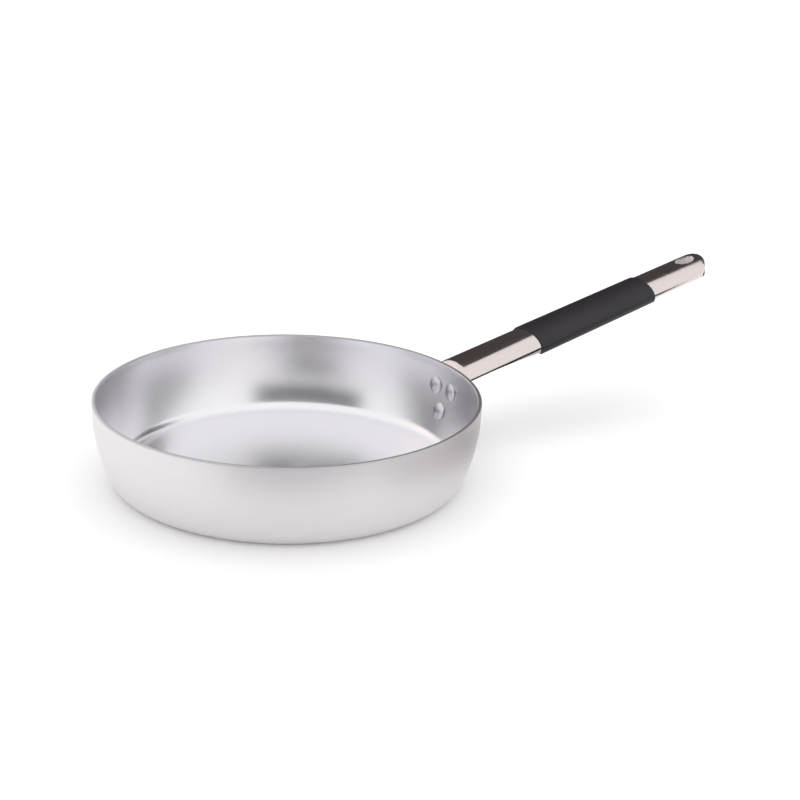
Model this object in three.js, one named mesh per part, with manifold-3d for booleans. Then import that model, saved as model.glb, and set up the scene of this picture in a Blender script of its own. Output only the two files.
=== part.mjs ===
// Saute pan: a pressed aluminium bowl with a riveted steel channel handle and a rubber grip.
// Millimetres, +Z up. The origin is the centre of the base, on the surface that the pan stands on.
// The handle points along +X.

import * as THREE from 'three';
import { mergeVertices } from 'three/addons/utils/BufferGeometryUtils.js';
import Module from 'manifold-3d';

const wasm = await Module();
wasm.setup();

// Pan body
const RIM_RADIUS = 140;
const PAN_HEIGHT = 62;
const PAN_SHEET = 3;
const WALL_FLARE = 21.4; // how far the rim stands out past the flat base
const CORNER_RADIUS = 12.6; // outside, between the base and the wall
const UPRIGHT_BAND = 6.6; // straight stretch of wall under the rim
const RIM_EDGE_RADIUS = 0.8;

// Handle: a channel with an oval back, wider than it is high, and an open underside
const HANDLE_SHEET = 1.4;
const HANDLE_RISE = THREE.MathUtils.degToRad(13.5);
const AXIS_BELOW_RIM = 10.2; // where the handle's axis meets the rim's radius
const HANDLE_LENGTH = 258.3; // from the rim's radius to the far end, along the axis
const HALF_HEIGHT_PAN = 10.8; // of the whole oval
const HALF_HEIGHT_END = 9.55;
const WIDTH_RATIO = 1.8;
const ROOT_BEND_RADIUS = 6; // the back turns down to the pan wall
const END_PLAN_RADIUS = 22; // the far end is rounded, seen from above, and upright
const PAN_EDGE_DROP = 0.5; // open edge below the axis, at the pan
const PAN_EDGE_LENGTH = 21;
const PAN_RUNOUT_RADIUS = 450; // arc from there down to the edge under the grip
const GRIP_EDGE_DROP = 5.3;
const END_EDGE_DROP = 3;
const END_EDGE_LENGTH = 62;
const END_RUNOUT_RADIUS = 68;
const HANG_HOLE_LENGTH = 18;
const HANG_HOLE_WIDTH = 13;
const HANG_HOLE_END_MARGIN = 5.3; // from the hole to the far end, on the axis

// Riveting plate, turned down from the channel's pan end
const PLATE_MARGIN = 8.8; // plate left around each rivet

// Grip sleeve
const GRIP_START = 77.4; // from the rim's radius, along the axis
const GRIP_LENGTH = 116.7;
const GRIP_WALL = 0.95;

// Rivets
const RIVET_HALF_SPACING = 10.2;
const RIVET_UNDER_EDGE = 5; // upper rivets' tails clear the channel's open edges
const RIVET_ROW_DROP = 18.15;
const RIVET_HEAD_RADIUS = 6.45;
const RIVET_HEAD_HEIGHT = 1.9;
const RIVET_HEAD_EDGE = 0.4;
const RIVET_SHANK_RADIUS = 2.2;
const RIVET_TAIL_RADIUS = 3.2;
const RIVET_TAIL_HEIGHT = 1.6;

// Clearances
const SEAT_GAP = 0.3; // between faces that rest on each other
const GRIP_CLEARANCE = 0.25;
const RIVET_CLEARANCE = 0.3;

// Facets
const PAN_SEGMENTS = 72;
const OVAL_SEGMENTS = 48;
const RIVET_SEGMENTS = 24;
const WALL_STEPS = 7;
const CORNER_STEPS = 6;
const EDGE_STEPS = 3;
const BEND_STEPS = 6;
const RUNOUT_STEPS = 8;
const PLAN_STEPS = 24;

const QUARTER_TURN = Math.PI / 2;
const HALF_TURN = Math.PI;

// Small helpers

function arc(x, y, radius, from, to, steps) {
  return new THREE.EllipseCurve(x, y, radius, radius, from, to, to < from).getPoints(steps);
}

function point(x, y) {
  return new THREE.Vector2(x, y);
}

function frameMatrix(xAxis, yAxis, zAxis, origin) {
  return new THREE.Matrix4().makeBasis(xAxis, yAxis, zAxis).setPosition(origin);
}

// Closed body for joining and cutting: shared corners merged and flat triangles at the axis dropped.
function body(geometry, matrix) {
  const bare = geometry.clone();
  bare.deleteAttribute('normal');
  bare.deleteAttribute('uv');
  bare.applyMatrix4(matrix);
  const merged = mergeVertices(bare);
  const corners = merged.index.array;
  const triangles = [];
  for (let i = 0; i < corners.length; i += 3) {
    const [a, b, c] = [corners[i], corners[i + 1], corners[i + 2]];
    if (a !== b && b !== c && c !== a) {
      triangles.push(a, b, c);
    }
  }
  return new wasm.Manifold(new wasm.Mesh({
    numProp: 3,
    vertProperties: new Float32Array(merged.attributes.position.array),
    triVerts: new Uint32Array(triangles),
  }));
}

function geometryOf(solid) {
  const { vertProperties, triVerts } = solid.getMesh();
  const geometry = new THREE.BufferGeometry();
  geometry.setAttribute('position', new THREE.BufferAttribute(vertProperties, 3));
  geometry.setIndex(new THREE.BufferAttribute(triVerts, 1));
  geometry.computeVertexNormals();
  return geometry;
}

function named(name, geometry, material) {
  const mesh = new THREE.Mesh(geometry, material);
  mesh.name = name;
  return mesh;
}

// Wall of the pan: a corner arc, a long wall arc tangent to it, and an upright band to the rim
const baseRadius = RIM_RADIUS - WALL_FLARE;
const wallCentreZ = PAN_HEIGHT - UPRIGHT_BAND;
const wallRadius =
  (WALL_FLARE ** 2 + (wallCentreZ - CORNER_RADIUS) ** 2 - CORNER_RADIUS ** 2) /
  (2 * (WALL_FLARE - CORNER_RADIUS));
const wallCentreX = RIM_RADIUS - wallRadius;
const wallFoot = -Math.asin((wallCentreZ - CORNER_RADIUS) / (wallRadius - CORNER_RADIUS));

// The wall arc at a distance outside the pan's outer face, from the foot up.
function wallArc(offset) {
  return arc(wallCentreX, wallCentreZ, wallRadius + offset, wallFoot, 0, WALL_STEPS);
}

function cornerArc(offset) {
  return arc(baseRadius, CORNER_RADIUS, CORNER_RADIUS + offset, -QUARTER_TURN, wallFoot, CORNER_STEPS);
}

const standUp = new THREE.Matrix4().makeRotationX(QUARTER_TURN);

// Frames of the rivets: the local Y axis points out of the pan, square to the wall
const innerWallRadius = wallRadius - PAN_SHEET;

function rivetFrame(side, level) {
  const slope = Math.asin((wallCentreZ - level) / innerWallRadius);
  const reach = wallCentreX + innerWallRadius * Math.cos(slope);
  const turn = Math.asin((side * RIVET_HALF_SPACING) / reach);
  const along = new THREE.Vector3(-Math.sin(turn), Math.cos(turn), 0);
  const outward = new THREE.Vector3(
    Math.cos(turn) * Math.cos(slope),
    Math.sin(turn) * Math.cos(slope),
    -Math.sin(slope),
  );
  const origin = new THREE.Vector3(reach * Math.cos(turn), reach * Math.sin(turn), level);
  return frameMatrix(along, outward, along.clone().cross(outward), origin);
}

const axisLevel = PAN_HEIGHT - AXIS_BELOW_RIM;
const panEdgeLevel = axisLevel - PAN_EDGE_DROP / Math.cos(HANDLE_RISE);
const upperRivetLevel = panEdgeLevel - RIVET_TAIL_RADIUS - RIVET_UNDER_EDGE;
const lowerRivetLevel = upperRivetLevel - RIVET_ROW_DROP;
const rivetFrames = {
  rivet_upper_left: rivetFrame(1, upperRivetLevel),
  rivet_upper_right: rivetFrame(-1, upperRivetLevel),
  rivet_lower: rivetFrame(0, lowerRivetLevel),
};

const plateOuter = SEAT_GAP + HANDLE_SHEET; // plate's outer face, from the pan's outer face
const gripThrough = PAN_SHEET + plateOuter; // what a rivet holds together

function rivetHole(frame) {
  const holeRadius = RIVET_SHANK_RADIUS + RIVET_CLEARANCE;
  const drillLength = 4 * gripThrough; // well past both faces
  const drill = new THREE.CylinderGeometry(holeRadius, holeRadius, drillLength, RIVET_SEGMENTS);
  return body(drill, frame);
}

function drilled(solid) {
  return Object.values(rivetFrames).reduce((left, frame) => left.subtract(rivetHole(frame)), solid);
}

// Pan body
function panBody() {
  const rimInner = RIM_RADIUS - PAN_SHEET + RIM_EDGE_RADIUS;
  const rimOuter = RIM_RADIUS - RIM_EDGE_RADIUS;
  const rimLevel = PAN_HEIGHT - RIM_EDGE_RADIUS;
  const profile = [
    point(0, 0),
    ...cornerArc(0),
    ...wallArc(0).slice(1),
    ...arc(rimOuter, rimLevel, RIM_EDGE_RADIUS, 0, QUARTER_TURN, EDGE_STEPS),
    ...arc(rimInner, rimLevel, RIM_EDGE_RADIUS, QUARTER_TURN, HALF_TURN, EDGE_STEPS),
    ...wallArc(-PAN_SHEET).reverse(),
    ...cornerArc(-PAN_SHEET).reverse().slice(1),
    point(0, PAN_SHEET),
  ];
  return drilled(body(new THREE.LatheGeometry(profile, PAN_SEGMENTS), standUp));
}

// Handle frame: the local Y axis runs along the handle, Z is up across it and X is sideways
const handleOrigin = new THREE.Vector3(RIM_RADIUS, 0, axisLevel);
const alongHandle = new THREE.Vector3(Math.cos(HANDLE_RISE), 0, Math.sin(HANDLE_RISE));
const acrossHandle = new THREE.Vector3(-Math.sin(HANDLE_RISE), 0, Math.cos(HANDLE_RISE));
const sideways = new THREE.Vector3(0, -1, 0);
const barFrame = frameMatrix(sideways, alongHandle, acrossHandle, handleOrigin);
const sideFrame = frameMatrix(alongHandle, acrossHandle, sideways, handleOrigin);
const topFrame = frameMatrix(alongHandle, sideways.clone().negate(), acrossHandle, handleOrigin);

const taper = (HALF_HEIGHT_PAN - HALF_HEIGHT_END) / HANDLE_LENGTH;
const taperAngle = Math.atan(taper);

function halfHeight(station) {
  return HALF_HEIGHT_PAN - taper * station;
}

// An oval bar along the handle, at a distance inside the channel's outer face.
function ovalBar(profile, inset) {
  const middle = halfHeight(HANDLE_LENGTH / 2);
  const bar = new THREE.LatheGeometry(profile, OVAL_SEGMENTS);
  bar.scale((WIDTH_RATIO * middle - inset) / (middle - inset), 1, 1);
  return body(bar, barFrame);
}

function taperedBar(inset, from, to) {
  return ovalBar([
    point(0, from),
    point(halfHeight(from) - inset, from),
    point(halfHeight(to) - inset, to),
    point(0, to),
  ], inset);
}

// The handle's plan: an upright block with a rounded far end.
function planBlock(inset) {
  const centre = RIM_RADIUS + HANDLE_LENGTH * Math.cos(HANDLE_RISE) - END_PLAN_RADIUS;
  const round = arc(centre, 0, END_PLAN_RADIUS - inset, -QUARTER_TURN, QUARTER_TURN, PLAN_STEPS);
  const outline = new THREE.Shape([
    point(0, round[0].y),
    ...round,
    point(0, round[PLAN_STEPS].y),
  ]);
  const block = new THREE.ExtrudeGeometry(outline, { depth: HANDLE_LENGTH, bevelEnabled: false });
  return body(block, new THREE.Matrix4());
}

// Width of the cutters, well past both sides of the handle
const cutWidth = 4 * WIDTH_RATIO * HALF_HEIGHT_PAN;

function sideSlab(outline) {
  const slab = new THREE.ExtrudeGeometry(outline, { depth: cutWidth, bevelEnabled: false });
  slab.translate(0, 0, -cutWidth / 2);
  return body(slab, sideFrame);
}

// Ends of the cutters, well past both ends of the handle, and their lower side
const before = -2 * HALF_HEIGHT_PAN;
const past = HANDLE_LENGTH + 2 * HALF_HEIGHT_PAN;
const lowest = -2 * HALF_HEIGHT_PAN;

function below(drop) {
  return sideSlab(new THREE.Shape([
    point(before, lowest),
    point(past, lowest),
    point(past, -drop),
    point(before, -drop),
  ]));
}

// What lies outside the pan wall: an upright face around the pan, rounded over to the back of the handle.
function outsideWall(inset) {
  const face = RIM_RADIUS + SEAT_GAP;
  const centreDrop = HALF_HEIGHT_PAN - ROOT_BEND_RADIUS / Math.cos(taperAngle);
  const station =
    (face + ROOT_BEND_RADIUS - RIM_RADIUS + centreDrop * Math.sin(HANDLE_RISE)) /
    (Math.cos(HANDLE_RISE) + taper * Math.sin(HANDLE_RISE));
  const centreX = face + ROOT_BEND_RADIUS;
  const centreZ =
    handleOrigin.z +
    station * Math.sin(HANDLE_RISE) +
    (centreDrop - taper * station) * Math.cos(HANDLE_RISE);
  const topAngle = QUARTER_TURN + HANDLE_RISE - taperAngle;
  const bend = arc(centreX, centreZ, ROOT_BEND_RADIUS - inset, topAngle, HALF_TURN, BEND_STEPS);
  const farthest = RIM_RADIUS + 2 * HANDLE_LENGTH;
  const highest = centreZ + HANDLE_LENGTH;
  const profile = [
    point(face + inset, 0),
    point(farthest, 0),
    point(farthest, highest),
    point(bend[0].x, highest),
    ...bend,
    point(face + inset, 0),
  ];
  return body(new THREE.LatheGeometry(profile, PAN_SEGMENTS), standUp);
}

// What is open under one end: a straight edge that runs out downwards on an arc.
function openUnderside(end, edgeEnd, drop, runoutRadius, direction) {
  const centre = point(edgeEnd, -drop - runoutRadius);
  const runout = Math.acos((lowest - centre.y) / runoutRadius);
  const sweep = QUARTER_TURN - direction * runout;
  return sideSlab(new THREE.Shape([
    point(end, lowest),
    point(end, -drop),
    ...arc(centre.x, centre.y, runoutRadius, QUARTER_TURN, sweep, RUNOUT_STEPS),
  ]));
}

function hangingHole() {
  const outline = new THREE.Shape();
  const middle = HANDLE_LENGTH - HANG_HOLE_END_MARGIN - HANG_HOLE_LENGTH / 2;
  outline.absellipse(middle, 0, HANG_HOLE_LENGTH / 2, HANG_HOLE_WIDTH / 2, 0, 2 * HALF_TURN);
  const punch = new THREE.ExtrudeGeometry(outline, {
    depth: cutWidth,
    bevelEnabled: false,
    curveSegments: OVAL_SEGMENTS / 2,
  });
  return body(punch, topFrame);
}

// The plate follows the pan wall, and its outline runs around the three rivets.
function rivetingPlate() {
  const outer = wallArc(plateOuter);
  const inner = wallArc(SEAT_GAP).reverse();
  const shell = new THREE.LatheGeometry([
    ...outer,
    point(RIM_RADIUS + plateOuter, PAN_HEIGHT),
    point(RIM_RADIUS + SEAT_GAP, PAN_HEIGHT),
    ...inner,
    outer[0],
  ], PAN_SEGMENTS);
  const flank = Math.atan2(RIVET_ROW_DROP, RIVET_HALF_SPACING) - QUARTER_TURN;
  const halfWidth = RIVET_HALF_SPACING + PLATE_MARGIN;
  const top = panEdgeLevel + 2 * HANDLE_SHEET; // far enough up to join the channel
  const outline = new THREE.Shape([
    ...arc(0, lowerRivetLevel, PLATE_MARGIN, -HALF_TURN - flank, flank, 2 * BEND_STEPS),
    ...arc(RIVET_HALF_SPACING, upperRivetLevel, PLATE_MARGIN, flank, 0, BEND_STEPS),
    point(halfWidth, top),
    point(-halfWidth, top),
    ...arc(-RIVET_HALF_SPACING, upperRivetLevel, PLATE_MARGIN, HALF_TURN, HALF_TURN - flank, BEND_STEPS),
  ]);
  const block = new THREE.ExtrudeGeometry(outline, { depth: 2 * RIM_RADIUS, bevelEnabled: false });
  const facing = frameMatrix(
    new THREE.Vector3(0, 1, 0),
    new THREE.Vector3(0, 0, 1),
    new THREE.Vector3(1, 0, 0),
    new THREE.Vector3(0, 0, 0),
  );
  return body(shell, standUp).intersect(body(block, facing));
}

// Handle channel
function handleChannel() {
  const outer = taperedBar(0, before, past).intersect(outsideWall(0)).intersect(planBlock(0));
  const bore = taperedBar(HANDLE_SHEET, before, past)
    .intersect(outsideWall(HANDLE_SHEET))
    .intersect(planBlock(HANDLE_SHEET));
  const endEdgeStart = HANDLE_LENGTH - END_EDGE_LENGTH;
  const channel = outer
    .subtract(bore)
    .subtract(below(GRIP_EDGE_DROP))
    .subtract(openUnderside(before, PAN_EDGE_LENGTH, PAN_EDGE_DROP, PAN_RUNOUT_RADIUS, 1))
    .subtract(openUnderside(past, endEdgeStart, END_EDGE_DROP, END_RUNOUT_RADIUS, -1))
    .subtract(hangingHole());
  return drilled(channel.add(rivetingPlate()));
}

// Grip sleeve: around the channel's back and flat across its open edges
function gripSleeve() {
  const end = GRIP_START + GRIP_LENGTH;
  const inner = taperedBar(-GRIP_CLEARANCE, GRIP_START - GRIP_WALL, end + GRIP_WALL);
  const outer = taperedBar(-GRIP_CLEARANCE - GRIP_WALL, GRIP_START, end);
  const innerDrop = GRIP_EDGE_DROP + GRIP_CLEARANCE;
  const hollow = inner.subtract(below(innerDrop));
  return outer.subtract(below(innerDrop + GRIP_WALL)).subtract(hollow);
}

// Rivet: a low dome inside the pan, a shank through the wall and the plate, and an upset tail outside
function rivet() {
  const sag = RIVET_HEAD_RADIUS ** 2 / (2 * Math.min(innerWallRadius, RIM_RADIUS - PAN_SHEET));
  const seat = -SEAT_GAP - sag;
  const crown = RIVET_HEAD_HEIGHT - RIVET_HEAD_EDGE;
  const ball = (RIVET_HEAD_RADIUS ** 2 + crown ** 2) / (2 * crown);
  const ballCentre = seat - RIVET_HEAD_HEIGHT + ball;
  const reach = Math.asin(RIVET_HEAD_RADIUS / ball);
  const tailSeat = gripThrough + SEAT_GAP;
  const tailEnd = tailSeat + RIVET_TAIL_HEIGHT;
  const tailRound = RIVET_TAIL_HEIGHT / 2;
  const profile = [
    ...arc(0, ballCentre, ball, -QUARTER_TURN, reach - QUARTER_TURN, CORNER_STEPS),
    point(RIVET_HEAD_RADIUS, seat),
    point(RIVET_SHANK_RADIUS, seat),
    point(RIVET_SHANK_RADIUS, tailSeat),
    point(RIVET_TAIL_RADIUS, tailSeat),
    ...arc(RIVET_TAIL_RADIUS - tailRound, tailEnd - tailRound, tailRound, 0, QUARTER_TURN, EDGE_STEPS),
    point(0, tailEnd),
  ];
  return new THREE.LatheGeometry(profile, RIVET_SEGMENTS);
}

// Materials
const aluminium = new THREE.MeshStandardMaterial({ color: 0xc9c7ca, roughness: 0.42, metalness: 1 });
const stainlessSteel = new THREE.MeshStandardMaterial({ color: 0xb9b0ae, roughness: 0.16, metalness: 1 });
const blackRubber = new THREE.MeshStandardMaterial({ color: 0x2f2c30, roughness: 0.62, metalness: 0 });
const rivetMetal = new THREE.MeshStandardMaterial({ color: 0xbdbbbf, roughness: 0.22, metalness: 1 });

// Assembly
const pan = new THREE.Group();
pan.add(named('pan_body', geometryOf(panBody()), aluminium));
pan.add(named('handle_channel', geometryOf(handleChannel()), stainlessSteel));
pan.add(named('grip_sleeve', geometryOf(gripSleeve()), blackRubber));

for (const [name, frame] of Object.entries(rivetFrames)) {
  const fastener = named(name, rivet(), rivetMetal);
  fastener.applyMatrix4(frame);
  pan.add(fastener);
}

export default pan;
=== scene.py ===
import math

import bmesh
import bpy
from mathutils import Matrix, Vector


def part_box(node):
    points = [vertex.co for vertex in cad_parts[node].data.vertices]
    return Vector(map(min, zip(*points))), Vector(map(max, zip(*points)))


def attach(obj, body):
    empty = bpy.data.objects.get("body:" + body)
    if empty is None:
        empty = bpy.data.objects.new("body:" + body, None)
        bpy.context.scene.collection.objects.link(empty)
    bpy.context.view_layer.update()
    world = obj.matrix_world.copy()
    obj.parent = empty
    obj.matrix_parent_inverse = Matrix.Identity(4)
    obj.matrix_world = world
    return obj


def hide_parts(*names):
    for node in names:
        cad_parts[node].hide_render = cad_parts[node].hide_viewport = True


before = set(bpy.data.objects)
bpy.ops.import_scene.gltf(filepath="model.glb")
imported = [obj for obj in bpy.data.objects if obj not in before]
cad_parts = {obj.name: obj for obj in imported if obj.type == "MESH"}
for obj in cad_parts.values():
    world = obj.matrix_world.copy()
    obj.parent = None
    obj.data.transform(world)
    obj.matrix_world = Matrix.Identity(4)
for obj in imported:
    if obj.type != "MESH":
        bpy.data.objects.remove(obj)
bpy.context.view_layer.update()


# Pan body
# A disc of aluminium about 3 mm thick, pressed to a round-bottomed bowl and finished on a lathe.
# The outside is brushed to a soft satin, the inside keeps the fine rings of the turning tool,
# and the rim is the bare edge of the sheet with its corners taken off.

MM = 0.001
QUARTER_TURN = math.pi / 2
PAN_SHEET = 3 * MM
WALL_FLARE = 21.4 * MM
CORNER_RADIUS = 12.6 * MM
UPRIGHT_BAND = 6.6 * MM
RIM_EDGE_RADIUS = 0.8 * MM
MERGE_DISTANCE = 0.01 * MM
PAN_SIDES = 192
CORNER_STEPS = 16
WALL_STEPS = 20
EDGE_STEPS = 4
OUTSIDE, INSIDE, RIM = range(3)
ACROSS_MARKS = 0.25
FLOOR_STRETCH = 0.4
WALL_STRETCH = 0.1
WALL_SMOOTHING = -0.01

pan_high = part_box("pan_body")[1]
rim_radius = pan_high[0]
pan_height = pan_high[2]
base_radius = rim_radius - WALL_FLARE
wall_level = pan_height - UPRIGHT_BAND
wall_rise = wall_level - CORNER_RADIUS
wall_radius = (WALL_FLARE**2 + wall_rise**2 - CORNER_RADIUS**2) / (2 * (WALL_FLARE - CORNER_RADIUS))
wall_centre = Vector((rim_radius - wall_radius, 0, wall_level))
wall_slope = math.asin(wall_rise / (wall_radius - CORNER_RADIUS))


def sweep(mesh, corner, centre, angle, steps):
    """Draws an arc of the section from a corner, upwards and out for a positive angle."""
    drawn = bmesh.ops.spin(mesh, geom=[corner], cent=centre, axis=(0, -1, 0), angle=angle, steps=steps)
    return drawn["geom_last"][0]


def line_to(mesh, corner, x, z):
    """Draws a straight stretch of the section from a corner."""
    end = bmesh.ops.extrude_vert_indiv(mesh, verts=[corner])["verts"][0]
    end.co = (x, 0, z)
    return end


def turn_round(mesh, sides):
    """Spins a half section about the upright axis into a closed body."""
    bmesh.ops.spin(
        mesh,
        geom=mesh.verts[:] + mesh.edges[:],
        cent=(0, 0, 0),
        axis=(0, 0, 1),
        angle=4 * QUARTER_TURN,
        steps=sides,
        use_merge=True,
    )
    bmesh.ops.remove_doubles(mesh, verts=mesh.verts, dist=MERGE_DISTANCE)
    bmesh.ops.recalc_face_normals(mesh, faces=mesh.faces)


def placed(name, mesh, materials):
    """Turns a bmesh into an object at the origin."""
    data = bpy.data.meshes.new(name)
    mesh.to_mesh(data)
    mesh.free()
    for material in materials:
        data.materials.append(material)
    item = bpy.data.objects.new(name, data)
    bpy.context.scene.collection.objects.link(item)
    return item


def finished(name, mesh, materials, node):
    """Turns a bmesh into a smooth piece that rides on the pan and stands for one of its solids."""
    piece = placed(name, mesh, materials)
    piece.data.shade_smooth()
    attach(piece, "root")
    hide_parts(node)
    return piece


def linear(code):
    """Linear colour of an sRGB hex value."""
    shares = [int(code[place:place + 2], 16) / 255 for place in (1, 3, 5)]
    return [c / 12.92 if c <= 0.04045 else ((c + 0.055) / 1.055) ** 2.4 for c in shares] + [1]


def new_material(name):
    """An empty material and its shader."""
    material = bpy.data.materials.new(name)
    material.use_nodes = True
    return material, material.node_tree.nodes["Principled BSDF"]


def wire(node, inputs):
    """Sets a node's inputs: constants on its own sockets, or links from the sockets that feed them."""
    for key, value in inputs.items():
        if isinstance(value, bpy.types.NodeSocket):
            node.id_data.links.new(value, node.inputs[key])
        else:
            node.inputs[key].default_value = value


def add(tree, kind, inputs=None, **settings):
    """Adds a node with its settings and its inputs."""
    node = tree.nodes.new(kind)
    for key, value in settings.items():
        setattr(node, key, value)
    wire(node, inputs or {})
    return node


def per_mm(size):
    """Texture scale of a pattern with a real size, given in millimetres."""
    return 1 / (size * MM)


def ring_noise(tree, place, size, detail):
    """Noise that depends only on the distance from the axis and the height: rings of uneven tone."""
    parts = add(tree, "ShaderNodeSeparateXYZ", {"Vector": place}).outputs
    flat = add(tree, "ShaderNodeCombineXYZ", {"X": parts["X"], "Y": parts["Y"]})
    reach = add(tree, "ShaderNodeVectorMath", {0: flat.outputs["Vector"]}, operation="LENGTH")
    rings = add(tree, "ShaderNodeCombineXYZ", {"X": reach.outputs["Value"], "Z": parts["Z"]})
    pattern = {"Vector": rings.outputs["Vector"], "Scale": per_mm(size), "Detail": detail}
    return add(tree, "ShaderNodeTexNoise", pattern).outputs["Fac"]


def around_axis(tree, place):
    """Direction around the pan's axis, along the turning marks."""
    upright = add(tree, "ShaderNodeCombineXYZ", {"Z": 1.0}).outputs["Vector"]
    arms = {0: upright, 1: place}
    return add(tree, "ShaderNodeVectorMath", arms, operation="CROSS_PRODUCT").outputs["Vector"]


section = bmesh.new()
start = section.verts.new((0, 0, 0))
foot = line_to(section, start, base_radius, 0)
corner_centre = (base_radius, 0, CORNER_RADIUS)
wall_foot = sweep(section, foot, corner_centre, QUARTER_TURN - wall_slope, CORNER_STEPS)
wall_top = sweep(section, wall_foot, wall_centre, wall_slope, WALL_STEPS)
rim_level = pan_height - RIM_EDGE_RADIUS
rim_outer = line_to(section, wall_top, rim_radius, rim_level)
outer_centre = (rim_radius - RIM_EDGE_RADIUS, 0, rim_level)
crest_outer = sweep(section, rim_outer, outer_centre, QUARTER_TURN, EDGE_STEPS)
inner_radius = rim_radius - PAN_SHEET
crest_inner = line_to(section, crest_outer, inner_radius + RIM_EDGE_RADIUS, pan_height)
inner_centre = (inner_radius + RIM_EDGE_RADIUS, 0, rim_level)
rim_inner = sweep(section, crest_inner, inner_centre, QUARTER_TURN, EDGE_STEPS)
inner_top = line_to(section, rim_inner, inner_radius, wall_level)
inner_foot = sweep(section, inner_top, wall_centre, -wall_slope, WALL_STEPS)
floor_edge = sweep(section, inner_foot, corner_centre, wall_slope - QUARTER_TURN, CORNER_STEPS)
line_to(section, floor_edge, 0, PAN_SHEET)
turn_round(section, PAN_SIDES)

for face in section.faces:
    middle = face.calc_center_median()
    outwards = face.normal.dot(Vector((middle.x, middle.y, 0)).normalized()) - face.normal.z
    face.material_index = OUTSIDE if outwards > 0 else INSIDE
    if middle.z > rim_level:
        face.material_index = RIM

# Brushed aluminium: grey white metal that spreads highlights softly, faintly streaked around.
# The streaks are drawn coarser than real brush marks, so that they show.
brushed, shader = new_material("brushed_aluminium")
tree = brushed.node_tree
place = add(tree, "ShaderNodeTexCoord").outputs["Object"]
streaks = ring_noise(tree, place, size=1.6, detail=4.0)
colours = {"Factor": streaks, "A": linear("#e4e1e2"), "B": linear("#ebe8e9")}
tone = add(tree, "ShaderNodeMix", colours, data_type="RGBA")
gloss = add(tree, "ShaderNodeMapRange", {"Value": streaks, "To Min": 0.46, "To Max": 0.54})
wire(
    shader,
    {
        "Base Color": tone.outputs["Result"],
        "Metallic": 1.0,
        "Roughness": gloss.outputs["Result"],
        "Anisotropic": 0.4,
        "Anisotropic Rotation": ACROSS_MARKS,
        "Tangent": around_axis(tree, place),
    },
)

# Turned aluminium: fine rings draw each highlight out across them, more on the floor than on the wall.
# The rings are drawn coarser than a real tool's, so that they show.
turned, shader = new_material("turned_aluminium")
tree = turned.node_tree
place = add(tree, "ShaderNodeTexCoord").outputs["Object"]
rings = ring_noise(tree, place, size=1.1, detail=3.0)
colours = {"Factor": rings, "A": linear("#f2f1f4"), "B": linear("#f6f5f8")}
tone = add(tree, "ShaderNodeMix", colours, data_type="RGBA")
height = add(tree, "ShaderNodeSeparateXYZ", {"Vector": place}).outputs["Z"]
up_corner = {"Value": height, "From Min": PAN_SHEET, "From Max": CORNER_RADIUS}
stretch = add(tree, "ShaderNodeMapRange", {**up_corner, "To Min": FLOOR_STRETCH, "To Max": WALL_STRETCH})
smoothing = add(tree, "ShaderNodeMapRange", {**up_corner, "To Min": 0.0, "To Max": WALL_SMOOTHING})
grain = add(tree, "ShaderNodeMapRange", {"Value": rings, "To Min": 0.26, "To Max": 0.28})
sum_of = {0: grain.outputs["Result"], 1: smoothing.outputs["Result"]}
gloss = add(tree, "ShaderNodeMath", sum_of, operation="ADD")
wire(
    shader,
    {
        "Base Color": tone.outputs["Result"],
        "Metallic": 1.0,
        "Roughness": gloss.outputs["Value"],
        "Anisotropic": stretch.outputs["Result"],
        "Anisotropic Rotation": ACROSS_MARKS,
        "Tangent": around_axis(tree, place),
    },
)

# Cut edge: the sheared and smoothed rim, a little darker than the faces, so that it draws a thin line.
# Its rings are drawn coarser than real file marks, so that they show.
cut_edge, shader = new_material("cut_aluminium_edge")
tree = cut_edge.node_tree
place = add(tree, "ShaderNodeTexCoord").outputs["Object"]
rings = ring_noise(tree, place, size=0.8, detail=2.0)
colours = {"Factor": rings, "A": linear("#cac8cc"), "B": linear("#d6d4d8")}
tone = add(tree, "ShaderNodeMix", colours, data_type="RGBA")
wire(shader, {"Base Color": tone.outputs["Result"], "Metallic": 1.0, "Roughness": 0.45})

finished("pan_bowl", section, [brushed, turned, cut_edge], "pan_body")


# Handle channel
# One strip of stainless steel, pressed to a channel with an oval back and an open underside.
# Its pan end is turned down and spread to a shield-shaped plate that follows the pan wall,
# and its far end is drawn down to an upright rounded nose, with an oval hole punched to hang it by.

HANDLE_SHEET = 1.4 * MM
HANDLE_RISE = math.radians(13.5)
AXIS_BELOW_RIM = 10.2 * MM
HANDLE_LENGTH = 258.3 * MM
HALF_HEIGHT_PAN = 10.8 * MM
HALF_HEIGHT_END = 9.55 * MM
WIDTH_RATIO = 1.8
SEAT_GAP = 0.3 * MM
SHOULDER_RADIUS = 6 * MM
NOSE_RADIUS = 2.5 * MM
END_PLAN_RADIUS = 22 * MM
PAN_EDGE_DROP = 0.5 * MM
PAN_EDGE_LENGTH = 21 * MM
PAN_RUNOUT_RADIUS = 450 * MM
GRIP_EDGE_DROP = 5.3 * MM
END_EDGE_DROP = 3 * MM
END_EDGE_LENGTH = 62 * MM
END_RUNOUT_RADIUS = 68 * MM
HOLE_LENGTH = 18 * MM
HOLE_WIDTH = 13 * MM
HOLE_END_MARGIN = 5.3 * MM
HOLE_REACH = 1.6
PLATE_MARGIN = 8.8 * MM
PLATE_TIP_TURN = math.radians(-84)
RIVET_HALF_SPACING = 10.2 * MM
RIVET_UNDER_EDGE = 8.2 * MM
RIVET_ROW_DROP = 18.15 * MM
SHEET_EDGE_RADIUS = 0.3 * MM
SHEET_EDGE_STEPS = 2
CUT_EDGE_ANGLE = math.radians(50)
BACK_STEPS = 48
WALL_COLUMNS = 16
BEND_STEPS = 6
HOLE_ROWS = 8
HOLE_COLUMNS = 12
RIB_SPACING = 4 * MM
PLATE_SLOT = 1
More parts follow.
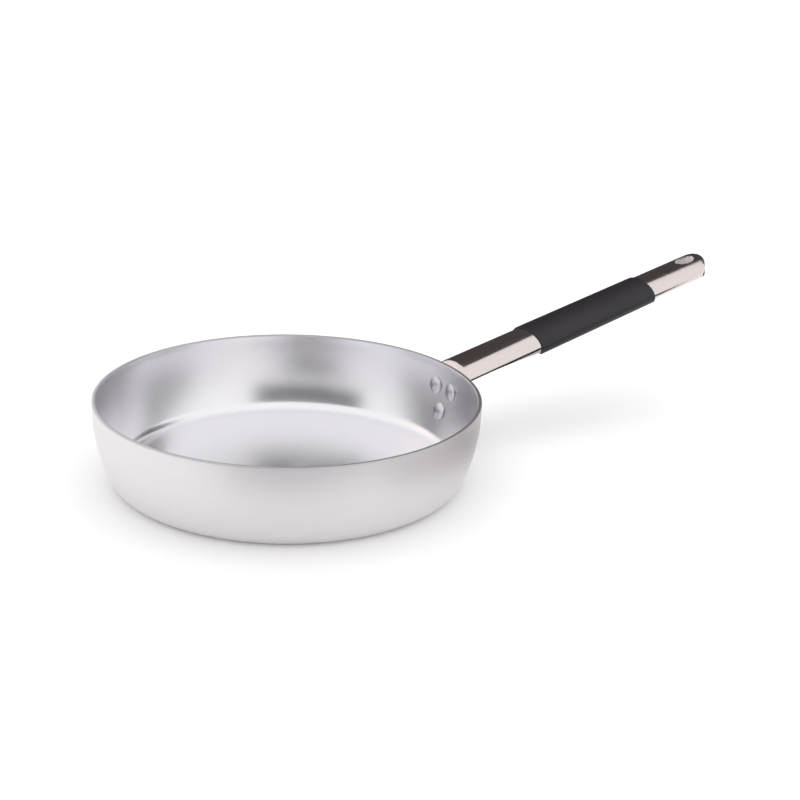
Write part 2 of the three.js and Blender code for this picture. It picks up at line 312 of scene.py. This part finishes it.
NEXT_SLOT = 1
HANDLE_LAY = (0, HANDLE_RISE, 0)

along = Vector((math.cos(HANDLE_RISE), 0, math.sin(HANDLE_RISE)))
axis_start = Vector((rim_radius, 0, pan_height - AXIS_BELOW_RIM))
handle_frame = Matrix.Translation(axis_start) @ Matrix.Rotation(-HANDLE_RISE, 4, "Y")
end_centre = rim_radius + HANDLE_LENGTH * along.x - END_PLAN_RADIUS
end_run = 2 * END_PLAN_RADIUS


def half_height(station):
    """Half height of the whole oval at a station along the handle."""
    return HALF_HEIGHT_PAN + (HALF_HEIGHT_END - HALF_HEIGHT_PAN) * station / HANDLE_LENGTH


def edge_drop(station):
    """How far the open edge lies under the axis."""
    pan_run = max(station - PAN_EDGE_LENGTH, 0)
    far_run = max(HANDLE_LENGTH - END_EDGE_LENGTH - station, 0)
    pan_side = PAN_EDGE_DROP + pan_run**2 / (2 * PAN_RUNOUT_RADIUS)
    far_side = END_EDGE_DROP + far_run**2 / (2 * END_RUNOUT_RADIUS)
    return min(pan_side, far_side, GRIP_EDGE_DROP)


def rib(mesh, station, inset, drop):
    """One row of the sheet: an oval arc over the back, from open edge to open edge."""
    rise = half_height(station) - inset
    lift = math.asin(drop / rise)
    first = len(mesh.verts)
    corner = mesh.verts.new((station, rise * math.cos(lift), -drop))
    turn = 2 * (QUARTER_TURN + lift)
    bmesh.ops.spin(mesh, geom=[corner], cent=(station, 0, 0), axis=(1, 0, 0), angle=turn, steps=BACK_STEPS)
    mesh.verts.ensure_lookup_table()
    row = mesh.verts[first:]
    stretch = (WIDTH_RATIO * half_height(station) - inset) / rise
    bmesh.ops.scale(mesh, vec=(1, stretch, 1), verts=row)
    bmesh.ops.transform(mesh, matrix=handle_frame, verts=row)
    return row


def slide(row, target):
    """Moves a row along the handle until each of its points has the target's X."""
    for vert in row:
        vert.co += along * ((target(vert.co.y) - vert.co.x) / along.x)


def bridge(mesh, near, far):
    """Fills the strip between two rows and returns its faces."""
    edges = set()
    for row in (near, far):
        edges.update(edge for vert in row for edge in vert.link_edges if edge.other_vert(vert) in row)
    return bmesh.ops.bridge_loops(mesh, edges=list(edges))["faces"]


def wall_face(y):
    """X of the plate's face against the upright band of the pan wall."""
    return math.sqrt((rim_radius + SEAT_GAP) ** 2 - y**2)


def nose_face(y):
    """X of the upright nose at the far end."""
    return end_centre + math.sqrt(END_PLAN_RADIUS**2 - y**2)


def wall_row(mesh, centre_x, begin, lean):
    """One row along an upright round face, spun about the face's axis from one side to the other."""
    side = math.atan2(begin.y, begin.x - centre_x)
    centre = (centre_x, 0, 0)
    first = len(mesh.verts)
    corner = mesh.verts.new(begin)
    bmesh.ops.spin(mesh, geom=[corner], cent=centre, axis=(0, 0, 1), angle=-2 * side, steps=WALL_COLUMNS)
    mesh.verts.ensure_lookup_table()
    row = mesh.verts[first:]
    start_x = begin.x
    for vert in row:
        vert.co.z += lean * (vert.co.x - start_x)
    return row


def end_wall(mesh, centre_x, row):
    """Fills an upright end under its bend with rows from flank to flank, down to the open edge."""
    flank_steps = (BACK_STEPS - WALL_COLUMNS) // 2
    above = row[flank_steps:-flank_steps]
    for vert in reversed(row[:flank_steps]):
        below = wall_row(mesh, centre_x, vert.co, math.tan(HANDLE_RISE))
        bridge(mesh, above, below)
        above = below
    return above


def margin_point(half_spacing, level, turn):
    """A point of the plate's outline, at its margin around a rivet: half width and level."""
    return half_spacing + PLATE_MARGIN * math.cos(turn), level + PLATE_MARGIN * math.sin(turn)


def face_up(mesh):
    """Points the normals out of a skin whose highest face looks up."""
    bmesh.ops.recalc_face_normals(mesh, faces=mesh.faces)
    crown = max(mesh.faces, key=lambda face: face.calc_center_median().z)
    if crown.normal.z < 0:
        bmesh.ops.reverse_faces(mesh, faces=mesh.faces)


def thicken(piece, thickness, edge_radius, edge_steps):
    """Gives a skin its thickness, inwards, and takes the corners off its cut edges."""
    wall = piece.modifiers.new("wall", "SOLIDIFY")
    wall.thickness = thickness
    wall.offset = -1
    wall.use_even_offset = True
    edges = piece.modifiers.new("edges", "BEVEL")
    edges.width = edge_radius
    edges.segments = edge_steps
    edges.limit_method = "ANGLE"
    edges.angle_limit = CUT_EDGE_ANGLE
    edges.harden_normals = True
    return wall


# The channel: rows that turn up from the plate, run along the handle and bend down at the nose.
sheet = bmesh.new()
hole_middle = HANDLE_LENGTH - HOLE_END_MARGIN - HOLE_LENGTH / 2
hole_start = hole_middle - HOLE_LENGTH / 2
hole_step = HOLE_LENGTH / HOLE_ROWS
first_rib = 2 * SHOULDER_RADIUS
plain_steps = round((hole_start - first_rib) / RIB_SPACING)
plain_spacing = (hole_start - first_rib) / plain_steps
stations = [first_rib + plain_spacing * step for step in range(plain_steps)]
stations += [hole_start + hole_step * step for step in range(HOLE_ROWS + 2)]

rows = []
for step in range(BEND_STEPS + 1):
    bend = QUARTER_TURN * (1 - step / BEND_STEPS)
    row = rib(sheet, 0, SHOULDER_RADIUS * (1 - math.cos(bend)), PAN_EDGE_DROP)
    stand_off = SHOULDER_RADIUS * (1 - math.sin(bend))
    slide(row, lambda y: wall_face(y) + stand_off)
    rows.append(row)
for station in stations:
    row = rib(sheet, station, 0, edge_drop(station))
    share = max(0, 1 - (HANDLE_LENGTH - station) / end_run) ** 2
    back = row[BACK_STEPS // 2].co.x
    for vert in row:
        lag = vert.co.x - back + nose_face(0) - nose_face(vert.co.y)
        vert.co -= along * (share * lag / along.x)
    rows.append(row)
for step in range(BEND_STEPS + 1):
    bend = QUARTER_TURN * step / BEND_STEPS
    row = rib(sheet, HANDLE_LENGTH, NOSE_RADIUS * (1 - math.cos(bend)), END_EDGE_DROP)
    stand_off = NOSE_RADIUS * (1 - math.sin(bend))
    slide(row, lambda y: nose_face(y) - stand_off)
    rows.append(row)
for near, far in zip(rows, rows[1:]):
    bridge(sheet, near, far)
end_wall(sheet, end_centre, rows[-1])
last = end_wall(sheet, 0, rows[0])

# The plate: rows along the pan wall, inside an outline around the three rivets.
root_level = axis_start.z - PAN_EDGE_DROP / math.cos(HANDLE_RISE)
upper_level = root_level - RIVET_UNDER_EDGE
lower_level = upper_level - RIVET_ROW_DROP
flank = math.atan2(RIVET_ROW_DROP, RIVET_HALF_SPACING) - QUARTER_TURN
neck = WIDTH_RATIO * HALF_HEIGHT_PAN - SHOULDER_RADIUS
shoulder = RIVET_HALF_SPACING + PLATE_MARGIN - neck
seat_radius = wall_radius + SEAT_GAP
shield = []
for step in range(1, BEND_STEPS + 1):
    turn = QUARTER_TURN * (1 - step / BEND_STEPS)
    shield.append((neck + shoulder * math.cos(turn), upper_level + RIVET_UNDER_EDGE * math.sin(turn)))
for step in range(1, BEND_STEPS + 1):
    shield.append(margin_point(RIVET_HALF_SPACING, upper_level, flank * step / BEND_STEPS))
for step in range(BEND_STEPS + 1):
    shield.append(margin_point(0, lower_level, flank + (PLATE_TIP_TURN - flank) * step / BEND_STEPS))
for half_width, level in shield:
    reach = wall_centre.x + math.sqrt(seat_radius**2 - (wall_level - level) ** 2)
    row = wall_row(sheet, 0, Vector((math.sqrt(reach**2 - half_width**2), half_width, level)), 0)
    for face in bridge(sheet, last, row):
        face.material_index = PLATE_SLOT
    last = row

# The hole: a block of faces is taken out and the rows around it are drawn to the oval.
hole_row = BEND_STEPS + 1 + plain_steps
last_rib = hole_row + HOLE_ROWS + 1
hole_column = (BACK_STEPS - HOLE_COLUMNS) // 2
to_handle = handle_frame.inverted()
punched = set()
for row_number, row in enumerate(rows[:last_rib + 1]):
    for column, vert in enumerate(row):
        lengthways = (row_number - hole_row) / (HOLE_ROWS / 2) - 1
        crossways = (column - hole_column) / (HOLE_COLUMNS / 2) - 1
        reach = max(abs(lengthways), abs(crossways))
        if reach <= 1:
            punched.add(vert)
        if reach < 1 or reach > HOLE_REACH:
            continue
        hold = (HOLE_REACH - reach) / (HOLE_REACH - 1)
        spot = to_handle @ vert.co
        ring = Vector((lengthways, crossways)).normalized() * reach
        spot.x += hold * (hole_middle + ring.x * HOLE_LENGTH / 2 - spot.x)
        spot.y += hold * (-ring.y * HOLE_WIDTH / 2 - spot.y)
        oval = half_height(spot.x)
        spot.z = oval * math.sqrt(1 - (spot.y / (WIDTH_RATIO * oval)) ** 2)
        vert.co = handle_frame @ spot
slug = [face for face in sheet.faces if punched.issuperset(face.verts)]
bmesh.ops.delete(sheet, geom=slug, context="FACES")
bmesh.ops.remove_doubles(sheet, verts=sheet.verts, dist=MERGE_DISTANCE)
face_up(sheet)

# Polished stainless steel: warm grey mirror, a little softened, with faint lengthwise polishing marks.
# The marks are drawn coarser than real ones, so that they show.
polished, shader = new_material("polished_stainless_steel")
tree = polished.node_tree
place = add(tree, "ShaderNodeTexCoord").outputs["Object"]
lay = add(tree, "ShaderNodeMapping", {"Vector": place, "Rotation": HANDLE_LAY, "Scale": (0.04, 1, 1)})
pattern = {"Vector": lay.outputs["Vector"], "Scale": per_mm(1.5), "Detail": 3.0}
marks = add(tree, "ShaderNodeTexNoise", pattern).outputs["Fac"]
colours = {"Factor": marks, "A": linear("#ddd3d1"), "B": linear("#e7dedc")}
tone = add(tree, "ShaderNodeMix", colours, data_type="RGBA")
gloss = add(tree, "ShaderNodeMapRange", {"Value": marks, "To Min": 0.12, "To Max": 0.2})
wire(
    shader,
    {"Base Color": tone.outputs["Result"], "Metallic": 1.0, "Roughness": gloss.outputs["Result"]},
)

# Rolled stainless steel: the inside of the channel is left as it came from the mill, pale and matt.
# Its streaks are drawn coarser than real rolling marks, so that they show.
rolled, shader = new_material("rolled_stainless_steel")
tree = rolled.node_tree
place = add(tree, "ShaderNodeTexCoord").outputs["Object"]
lay = add(tree, "ShaderNodeMapping", {"Vector": place, "Rotation": HANDLE_LAY, "Scale": (0.1, 1, 1)})
pattern = {"Vector": lay.outputs["Vector"], "Scale": per_mm(2.5), "Detail": 2.0}
streaks = add(tree, "ShaderNodeTexNoise", pattern).outputs["Fac"]
colours = {"Factor": streaks, "A": linear("#f6f4f3"), "B": linear("#fdfbfa")}
tone = add(tree, "ShaderNodeMix", colours, data_type="RGBA")
gloss = add(tree, "ShaderNodeMapRange", {"Value": streaks, "To Min": 0.46, "To Max": 0.54})
wire(
    shader,
    {"Base Color": tone.outputs["Result"], "Metallic": 1.0, "Roughness": gloss.outputs["Result"]},
)

# The sheet's other face takes the slot after its own: rolled inside the channel, polished outside the plate.
handle = finished("handle_strip", sheet, [polished, rolled, polished], "handle_channel")
wall = thicken(handle, HANDLE_SHEET, SHEET_EDGE_RADIUS, SHEET_EDGE_STEPS)
wall.material_offset = NEXT_SLOT


# Grip sleeve
# A moulded sleeve of black rubber, pushed over the middle of the handle before the nose is drawn down.
# It is oval over the back and flat across the open edges, and its ends are cut square.

GRIP_START = 77.4 * MM
GRIP_LENGTH = 116.7 * MM
GRIP_WALL = 0.95 * MM
GRIP_CLEARANCE = 0.25 * MM
GRIP_HEM_RADIUS = 1.2 * MM
GRIP_HEM_STEPS = 4
GRIP_EDGE_RADIUS = 0.35 * MM
GRIP_EDGE_STEPS = 3
GRIP_RIBS = 12
ROUND_PROFILE = 0.5

sleeve = bmesh.new()
skin = GRIP_CLEARANCE + GRIP_WALL
loops = []
for step in range(GRIP_RIBS + 1):
    station = GRIP_START + GRIP_LENGTH * step / GRIP_RIBS
    row = rib(sleeve, station, -skin, GRIP_EDGE_DROP + skin)
    sleeve.edges.new((row[0], row[-1]))
    loops.append(row)
for near, far in zip(loops, loops[1:]):
    bridge(sleeve, near, far)
hems = []
for near, far in zip(loops, loops[1:]):
    hems.append(sleeve.edges.get((near[0], far[0])))
    hems.append(sleeve.edges.get((near[-1], far[-1])))
bmesh.ops.bevel(
    sleeve,
    geom=hems,
    offset=GRIP_HEM_RADIUS,
    affect="EDGES",
    segments=GRIP_HEM_STEPS,
    profile=ROUND_PROFILE,
    material=-1,
)
face_up(sleeve)

# Moulded rubber: near black, matt, with a fine eroded grain from the mould and a faint cloudy bloom.
# The grain is drawn coarser than a real one, so that it shows.
rubber, shader = new_material("moulded_black_rubber")
tree = rubber.node_tree
place = add(tree, "ShaderNodeTexCoord").outputs["Object"]
bloom = add(tree, "ShaderNodeTexNoise", {"Vector": place, "Scale": per_mm(22), "Detail": 2.0})
grain = add(tree, "ShaderNodeTexNoise", {"Vector": place, "Scale": per_mm(0.9), "Detail": 2.0})
colours = {"Factor": bloom.outputs["Fac"], "A": linear("#1e1b1e"), "B": linear("#272328")}
tone = add(tree, "ShaderNodeMix", colours, data_type="RGBA")
relief = {"Height": grain.outputs["Fac"], "Strength": 0.25, "Distance": 0.05 * MM}
bump = add(tree, "ShaderNodeBump", relief)
wire(
    shader,
    {
        "Base Color": tone.outputs["Result"],
        "Roughness": 0.55,
        "IOR": 1.52,
        "Normal": bump.outputs["Normal"],
    },
)

grip = finished("grip_rubber_sleeve", sleeve, [rubber], "grip_sleeve")
thicken(grip, GRIP_WALL, GRIP_EDGE_RADIUS, GRIP_EDGE_STEPS)


# Rivets
# Three solid aluminium rivets join the plate to the pan wall, two above and one below.
# Their low domed heads are inside the pan, faced on a lathe, and their tails are upset outside.

RIVET_HEAD_RADIUS = 6.45 * MM
RIVET_HEAD_HEIGHT = 1.9 * MM
RIVET_HEAD_EDGE = 0.7 * MM
RIVET_SHANK_RADIUS = 2.2 * MM
RIVET_TAIL_RADIUS = 3.2 * MM
RIVET_TAIL_HEIGHT = 1.6 * MM
RIVET_CORNER_ANGLE = math.radians(40)
RIVET_SIDES = 64
DOME_STEPS = 10

inner_wall_radius = wall_radius - PAN_SHEET
held_depth = PAN_SHEET + SEAT_GAP + HANDLE_SHEET

# Faced aluminium: bright metal whose highlights are drawn out across the rings of a facing cut.
# The specks in its tone are drawn coarser than real tool marks, so that they show.
faced, shader = new_material("faced_aluminium")
tree = faced.node_tree
place = add(tree, "ShaderNodeTexCoord").outputs["Object"]
pattern = {"Vector": place, "Scale": per_mm(1.2), "Detail": 3.0}
specks = add(tree, "ShaderNodeTexNoise", pattern).outputs["Fac"]
colours = {"Factor": specks, "A": linear("#cfcdd2"), "B": linear("#dedce0")}
tone = add(tree, "ShaderNodeMix", colours, data_type="RGBA")
gloss = add(tree, "ShaderNodeMapRange", {"Value": specks, "To Min": 0.22, "To Max": 0.28})
cut = add(tree, "ShaderNodeAttribute", attribute_name="around")
wire(
    shader,
    {
        "Base Color": tone.outputs["Result"],
        "Metallic": 1.0,
        "Roughness": gloss.outputs["Result"],
        "Anisotropic": 0.8,
        "Anisotropic Rotation": ACROSS_MARKS,
        "Tangent": cut.outputs["Vector"],
    },
)


def rivet_frame(side, level):
    """Frame of a rivet: local Z points out of the pan, square to the wall's inner face."""
    slope = math.asin((wall_level - level) / inner_wall_radius)
    reach = wall_centre.x + inner_wall_radius * math.cos(slope)
    turn = math.asin(side * RIVET_HALF_SPACING / reach)
    tilt = Matrix.Rotation(turn, 4, "Z") @ Matrix.Rotation(QUARTER_TURN + slope, 4, "Y")
    return Matrix.Translation((reach * math.cos(turn), reach * math.sin(turn), level)) @ tilt


def rivet(name, place):
    """A rivet spun from its half section."""
    sag = RIVET_HEAD_RADIUS**2 / (2 * min(inner_wall_radius, inner_radius))
    seat = -SEAT_GAP - sag
    crown_height = RIVET_HEAD_HEIGHT - RIVET_HEAD_EDGE
    ball = (RIVET_HEAD_RADIUS**2 + crown_height**2) / (2 * crown_height)
    reach = math.asin(RIVET_HEAD_RADIUS / ball)
    tail_seat = held_depth + SEAT_GAP
    tail_end = tail_seat + RIVET_TAIL_HEIGHT
    tail_round = RIVET_TAIL_HEIGHT / 2
    half = bmesh.new()
    tip = half.verts.new((0, 0, seat - RIVET_HEAD_HEIGHT))
    brim = sweep(half, tip, (0, 0, seat - RIVET_HEAD_HEIGHT + ball), reach, DOME_STEPS)
    head = line_to(half, brim, RIVET_HEAD_RADIUS, seat)
    neck_top = line_to(half, head, RIVET_SHANK_RADIUS, seat)
    neck_end = line_to(half, neck_top, RIVET_SHANK_RADIUS, tail_seat)
    tail = line_to(half, neck_end, RIVET_TAIL_RADIUS, tail_seat)
    tail_side = line_to(half, tail, RIVET_TAIL_RADIUS, tail_end - tail_round)
    round_centre = (RIVET_TAIL_RADIUS - tail_round, 0, tail_end - tail_round)
    tail_top = sweep(half, tail_side, round_centre, QUARTER_TURN, EDGE_STEPS)
    line_to(half, tail_top, 0, tail_end)
    turn_round(half, RIVET_SIDES)
    around = half.verts.layers.float_vector.new("around")
    for vert in half.verts:
        vert[around] = place.to_3x3() @ Vector((-vert.co.y, vert.co.x, 0))
    bmesh.ops.transform(half, matrix=place, verts=half.verts)
    fastener = finished(name + "_turned", half, [faced], name)
    fastener.data.set_sharp_from_angle(angle=RIVET_CORNER_ANGLE)


rivet("rivet_upper_left", rivet_frame(1, upper_level))
rivet("rivet_upper_right", rivet_frame(-1, upper_level))
rivet("rivet_lower", rivet_frame(0, lower_level))


# Table and backdrop
# A white table under a white sky, as in a light tent. Cards that only reflections see are set around the pan:
# dark and grey ones give the bright metal its bands, and a bright one on the left lifts that side.

FLOOR_SIZE = 12
FLOOR_GAP = 0.2 * MM
CAMERA_AZIMUTH = math.radians(-32.937)
CARD_STEPS = 24
PAN_PLACE = (0, 0, 0)
NOSE_PLACE = (0.385, 0, 0.11)
HANDLE_SCREEN = ((0.16, 0.13, 0.03), (0.5, 0.13, 0.03), (0.5, 0.13, 0.43), (0.16, 0.13, 0.35))
# Corners of a dark card on the table by the handle, a painted shadow of the handle.
HANDLE_SHADOW_APRON = ((0.18, -0.075), (0.5, -0.12), (0.92, -0.7), (0.92, -0.8), (0.42, -0.6))
NOSE_APRON = ((0.467, 0.126), (0.531, -0.034), (0.97, -0.134), (0.71, 0.5))
SIDE_APRON = (
    (0.19, -0.02),
    (0.34, -0.02),
    (0.34, -0.097),
    (0.18, -0.075),
    (0.4, -0.56),
    (0.29, -0.48),
    (0.19, -0.262),
    (0.05, -0.291),
    (0.04, -0.21),
    (0.115, -0.135),
)
FRONT_APRON = (
    (-0.12, -0.25),
    (0.2, -0.22),
    (0.3, -0.12),
    (0.5, -0.25),
    (0.75, -0.36),
    (0.75, -1.2),
    (-0.3, -1.2),
)


def staged(name, mesh, material):
    """Puts a mesh into the scene on its own, not attached to the pan."""
    item = placed(name, mesh, [material])
    return item


def hung(name, colour, card, glow):
    """Puts up a card that only reflections see."""
    # Cloth: black and without gloss, but glowing evenly in the card's colour, so that a reflection shows only
    # that even glow.
    glowing_cloth, shader = new_material(name + "_cloth")
    wire(
        shader,
        {
            "Base Color": linear("#000000"),
            "Specular IOR Level": 0.0,
            "Emission Color": linear(colour),
            "Emission Strength": glow,
        },
    )
    item = staged(name, card, glowing_cloth)
    item.visible_camera = False
    item.visible_diffuse = False
    item.visible_transmission = False
    item.visible_shadow = False


def curved_card(name, colour, centre, distance, turn, spread, low, high, glow=1.0):
    """A card bent around a place, in degrees: turn from straight behind, half its width, its elevations."""
    card = bmesh.new()
    foot = card.verts.new((0, distance, distance * math.tan(math.radians(low))))
    head = card.verts.new((0, distance, distance * math.tan(math.radians(high))))
    edge = [foot, head, card.edges.new((foot, head))]
    begin = CAMERA_AZIMUTH - math.radians(turn + spread)
    width = math.radians(2 * spread)
    bmesh.ops.rotate(card, cent=(0, 0, 0), matrix=Matrix.Rotation(begin, 3, "Z"), verts=[foot, head])
    bmesh.ops.spin(card, geom=edge, cent=(0, 0, 0), axis=(0, 0, 1), angle=width, steps=CARD_STEPS)
    bmesh.ops.translate(card, vec=centre, verts=card.verts)
    hung(name, colour, card, glow)


def flat_card(name, colour, corners, turn=0.0):
    """A flat card by its corners, which lie on the table where they have no height."""
    card = bmesh.new()
    card.faces.new([card.verts.new((*corner, FLOOR_GAP)[:3]) for corner in corners])
    bmesh.ops.rotate(card, cent=(0, 0, 0), matrix=Matrix.Rotation(turn, 3, "Z"), verts=card.verts)
    hung(name, colour, card, glow=1.0)


# White paper: the table throws back all light and has no gloss, so that it shows only the pan's soft shadow.
paper, shader = new_material("white_paper")
wire(shader, {"Base Color": linear("#ffffff"), "Roughness": 1.0, "Specular IOR Level": 0.0})
table = bmesh.new()
bmesh.ops.create_grid(table, x_segments=1, y_segments=1, size=FLOOR_SIZE / 2)
bmesh.ops.translate(table, vec=(0, 0, -FLOOR_GAP), verts=table.verts)
staged("table", table, paper)

# White sky: even light from all sides.
world = bpy.data.worlds.new("light_tent")
bpy.context.scene.world = world
world.use_nodes = True
wire(world.node_tree.nodes["Background"], {"Color": linear("#ffffff"), "Strength": 1.0})

curved_card("back_flag", "#0c0c0c", PAN_PLACE, distance=2, turn=3.5, spread=12, low=8, high=70)
curved_card("nose_flag", "#4a4547", NOSE_PLACE, distance=0.4, turn=36, spread=34, low=14, high=62)
curved_card("front_flag", "#100c18", PAN_PLACE, distance=2, turn=190, spread=38, low=15, high=31)
curved_card("left_box", "#fff6f2", PAN_PLACE, distance=2, turn=-65, spread=18, low=0.5, high=45, glow=1.15)
flat_card("handle_screen", "#4a4547", HANDLE_SCREEN)
# Painted shadow: a dark card on the table by the handle stands in for the handle's own shadow there, which
# the handle's lower flank shows as a thin dark line.
flat_card("handle_shadow_apron", "#2a2a2a", HANDLE_SHADOW_APRON)
flat_card("side_apron", "#c8c2c6", SIDE_APRON)
flat_card("nose_apron", "#2a2a2a", NOSE_APRON)
flat_card("front_apron", "#9c989e", FRONT_APRON, turn=CAMERA_AZIMUTH)


# Soft lamp
# A wide lamp overhead that lifts the table to white around the pan's soft shadow.
# Reflections don't see it, so that it leaves no bright patch in the metal.

LAMP_HEIGHT = 2.2
LAMP_SIZE = 2.5
LAMP_POWER = 9

lamp = bpy.data.lights.new("soft_lamp", "AREA")
lamp.size = LAMP_SIZE
lamp.energy = LAMP_POWER
lamp_holder = bpy.data.objects.new("soft_lamp", lamp)
lamp_holder.location = (0, 0, LAMP_HEIGHT)
lamp_holder.visible_camera = False
lamp_holder.visible_glossy = False
bpy.context.scene.collection.objects.link(lamp_holder)


# Camera
# It stands where the photograph was taken from, as fitted to the rim, the wall, the rivets and the handle.
# Its slight roll is the photograph's own.

CAMERA_SPOT = (-0.4909, -0.9062, 0.4369)
CAMERA_ELEVATION = math.radians(20.162)
CAMERA_ROLL = math.radians(1.893)
CAMERA_LENS = 68.04
SENSOR_WIDTH = 36
CLIP_START = 0.01

camera_data = bpy.data.cameras.new("camera")
camera_data.lens = CAMERA_LENS
camera_data.sensor_width = SENSOR_WIDTH
camera_data.clip_start = CLIP_START
camera = bpy.data.objects.new("camera", camera_data)
aim = Matrix.Rotation(CAMERA_AZIMUTH, 4, "Z") @ Matrix.Rotation(QUARTER_TURN - CAMERA_ELEVATION, 4, "X")
camera.matrix_world = Matrix.Translation(CAMERA_SPOT) @ aim @ Matrix.Rotation(CAMERA_ROLL, 4, "Z")
bpy.context.scene.collection.objects.link(camera)
bpy.context.scene.camera = camera
bpy.context.scene.view_settings.view_transform = "Standard"
